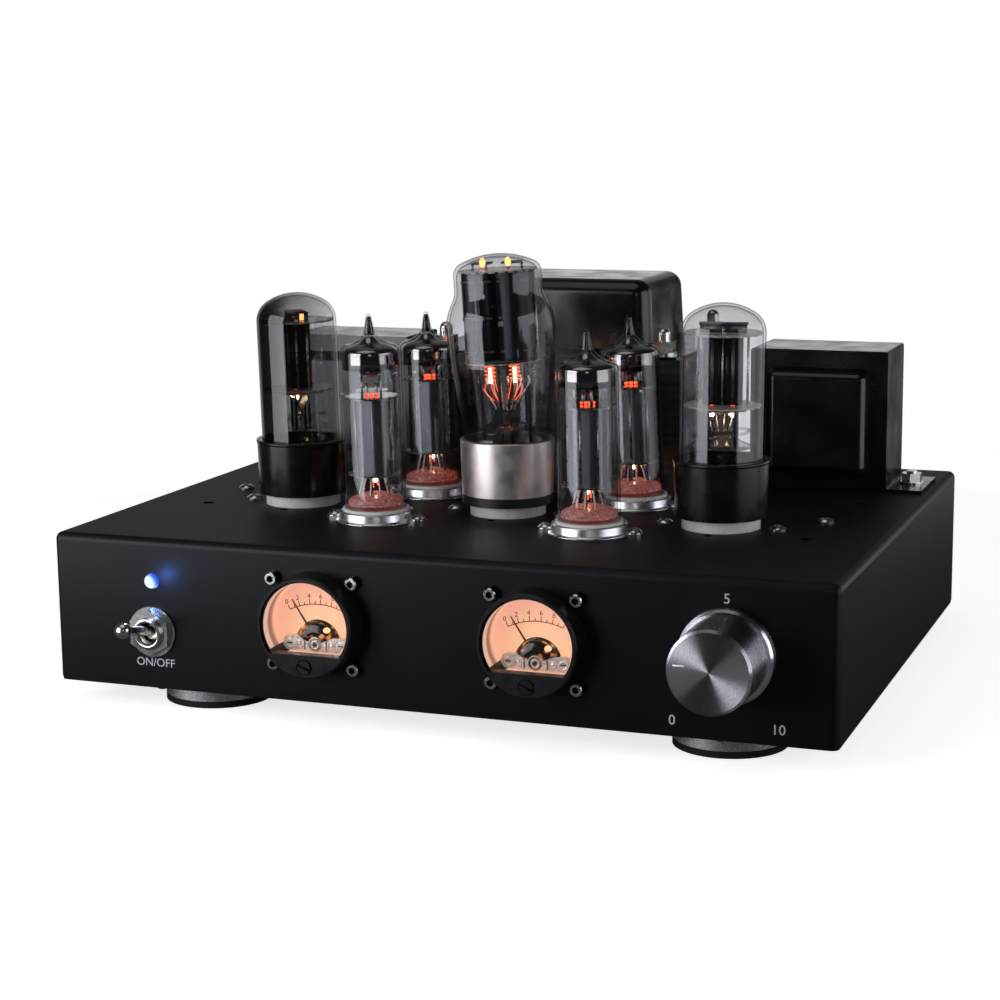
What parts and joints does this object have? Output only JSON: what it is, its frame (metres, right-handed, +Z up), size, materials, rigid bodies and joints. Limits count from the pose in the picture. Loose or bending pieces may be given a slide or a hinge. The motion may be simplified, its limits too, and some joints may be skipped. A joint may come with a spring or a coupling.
{
  "type": "tube integrated amplifier",
  "caption": "Compact valve stereo amplifier: black steel chassis with a volume knob, round lit meters and a toggle switch in front, glass tubes and black transformers on top.",
  "frame": {"origin": "middle of the outline's footprint, on the surface that the rubber feet stand on", "axes": "+X to the right as seen from the front, +Y from the front panel to the back, +Z up"},
  "size_m": [0.28, 0.2644, 0.1552],
  "materials": {
    "black_powder_coat": "satin powder coat",
    "black_lamination_steel": "laminated steel, satin black lacquer",
    "winding_tape": "wound copper under varnished tape",
    "plated_steel": "bright zinc or nickel plate",
    "turned_aluminium": "turned, radial brush marks",
    "foot_rubber": "matte",
    "ceramic": "glazed white ceramic",
    "chrome": "bright plate",
    "black_plastic": "glossy",
    "satin_metal_base": "satin metal sleeve over a black plastic foot",
    "red_plastic": "glossy",
    "clear_window": "clear",
    "dial_paper": "printed card lit from behind",
    "movement_metal": "pressed aluminium bridge and dark magnet",
    "needle_black": "painted",
    "blue_lamp": "clear lens lit blue",
    "tube_glass": "clear with a mirror flash at the top of the small ones",
    "electrode_metal": "dark plates, mica discs and bright wires",
    "board": "green solder mask",
    "capacitor_sleeve": "shrink sleeve"
  },
  "bodies": {
    "chassis": {"chassis_shell": "black_powder_coat", "bottom_plate": "black_powder_coat", "bottom_plate_screws": "plated_steel", "foot_bodies": "turned_aluminium", "foot_pads": "foot_rubber", "foot_screws": "plated_steel", "power_transformer_core": "black_lamination_steel", "power_transformer_bell": "black_powder_coat", "power_transformer_bolts": "plated_steel", "output_transformer_left_core": "black_lamination_steel", "output_transformer_right_core": "black_lamination_steel", "output_transformer_straps": "black_powder_coat", "output_transformer_covers": "black_powder_coat", "output_transformer_screws": "plated_steel", "transformer_coils": "winding_tape", "octal_sockets": "ceramic", "octal_socket_plates": "plated_steel", "noval_sockets": "ceramic", "noval_saddle_rings": "chrome", "deck_screws": "plated_steel", "meter_left_case": "black_plastic", "meter_right_case": "black_plastic", "meter_windows": "clear_window", "meter_dials": "dial_paper", "meter_movements": "movement_metal", "meter_zero_screws": "black_plastic", "meter_screws": "plated_steel", "toggle_switch_body": "chrome", "panel_nuts": "plated_steel", "potentiometer_body": "chrome", "indicator_lamp": "blue_lamp", "mains_inlet": "black_plastic", "speaker_posts": "plated_steel", "speaker_post_caps_black": "black_plastic", "speaker_post_caps_red": "red_plastic", "input_jacks": "plated_steel", "circuit_board": "board", "filter_capacitors": "capacitor_sleeve"},
    "driver_tube_left": {"driver_tube_left_base": "black_plastic", "driver_tube_left_glass": "tube_glass", "driver_tube_left_electrodes": "electrode_metal"},
    "rectifier_tube": {"rectifier_tube_base": "satin_metal_base", "rectifier_tube_glass": "tube_glass", "rectifier_tube_electrodes": "electrode_metal"},
    "driver_tube_right": {"driver_tube_right_base": "black_plastic", "driver_tube_right_glass": "tube_glass", "driver_tube_right_electrodes": "electrode_metal"},
    "output_tube_front_left": {"output_tube_front_left_glass": "tube_glass", "output_tube_front_left_electrodes": "electrode_metal"},
    "output_tube_front_right": {"output_tube_front_right_glass": "tube_glass", "output_tube_front_right_electrodes": "electrode_metal"},
    "output_tube_back_left": {"output_tube_back_left_glass": "tube_glass", "output_tube_back_left_electrodes": "electrode_metal"},
    "output_tube_back_right": {"output_tube_back_right_glass": "tube_glass", "output_tube_back_right_electrodes": "electrode_metal"},
    "volume_control": {"volume_shaft": "plated_steel", "volume_knob": "turned_aluminium"},
    "toggle": {"toggle_lever": "chrome"},
    "needle_left": {"meter_left_needle": "needle_black"},
    "needle_right": {"meter_right_needle": "needle_black"}
  },
  "joints": [
    {"name": "driver_tube_left_lift", "type": "slide", "parent": "chassis", "child": "driver_tube_left", "axis": [0, 0, 1], "range_m": [0, 0.1]},
    {"name": "rectifier_tube_lift", "type": "slide", "parent": "chassis", "child": "rectifier_tube", "axis": [0, 0, 1], "range_m": [0, 0.1]},
    {"name": "driver_tube_right_lift", "type": "slide", "parent": "chassis", "child": "driver_tube_right", "axis": [0, 0, 1], "range_m": [0, 0.1]},
    {"name": "output_tube_front_left_lift", "type": "slide", "parent": "chassis", "child": "output_tube_front_left", "axis": [0, 0, 1], "range_m": [0, 0.1]},
    {"name": "output_tube_front_right_lift", "type": "slide", "parent": "chassis", "child": "output_tube_front_right", "axis": [0, 0, 1], "range_m": [0, 0.1]},
    {"name": "output_tube_back_left_lift", "type": "slide", "parent": "chassis", "child": "output_tube_back_left", "axis": [0, 0, 1], "range_m": [0, 0.1]},
    {"name": "output_tube_back_right_lift", "type": "slide", "parent": "chassis", "child": "output_tube_back_right", "axis": [0, 0, 1], "range_m": [0, 0.1]},
    {"name": "volume_turn", "type": "hinge", "parent": "chassis", "child": "volume_control", "pos_m": [0.1043, -0.1087, 0.0363], "axis": [0, 1, 0], "range_deg": [-65, 235]},
    {"name": "toggle_throw", "type": "hinge", "parent": "chassis", "child": "toggle", "pos_m": [-0.1017, -0.1077, 0.0283], "axis": [1, 0, 0], "range_deg": [0, 26]},
    {"name": "needle_left_swing", "type": "hinge", "parent": "chassis", "child": "needle_left", "pos_m": [-0.0396, -0.1053, 0.0283], "axis": [0, 1, 0], "range_deg": [0, 72], "stiffness_Nm_per_rad": 0.0001, "springref_deg": -5.73},
    {"name": "needle_right_swing", "type": "hinge", "parent": "chassis", "child": "needle_right", "pos_m": [0.0396, -0.1053, 0.0283], "axis": [0, 1, 0], "range_deg": [0, 72], "stiffness_Nm_per_rad": 0.0001, "springref_deg": -5.73}
  ]
}
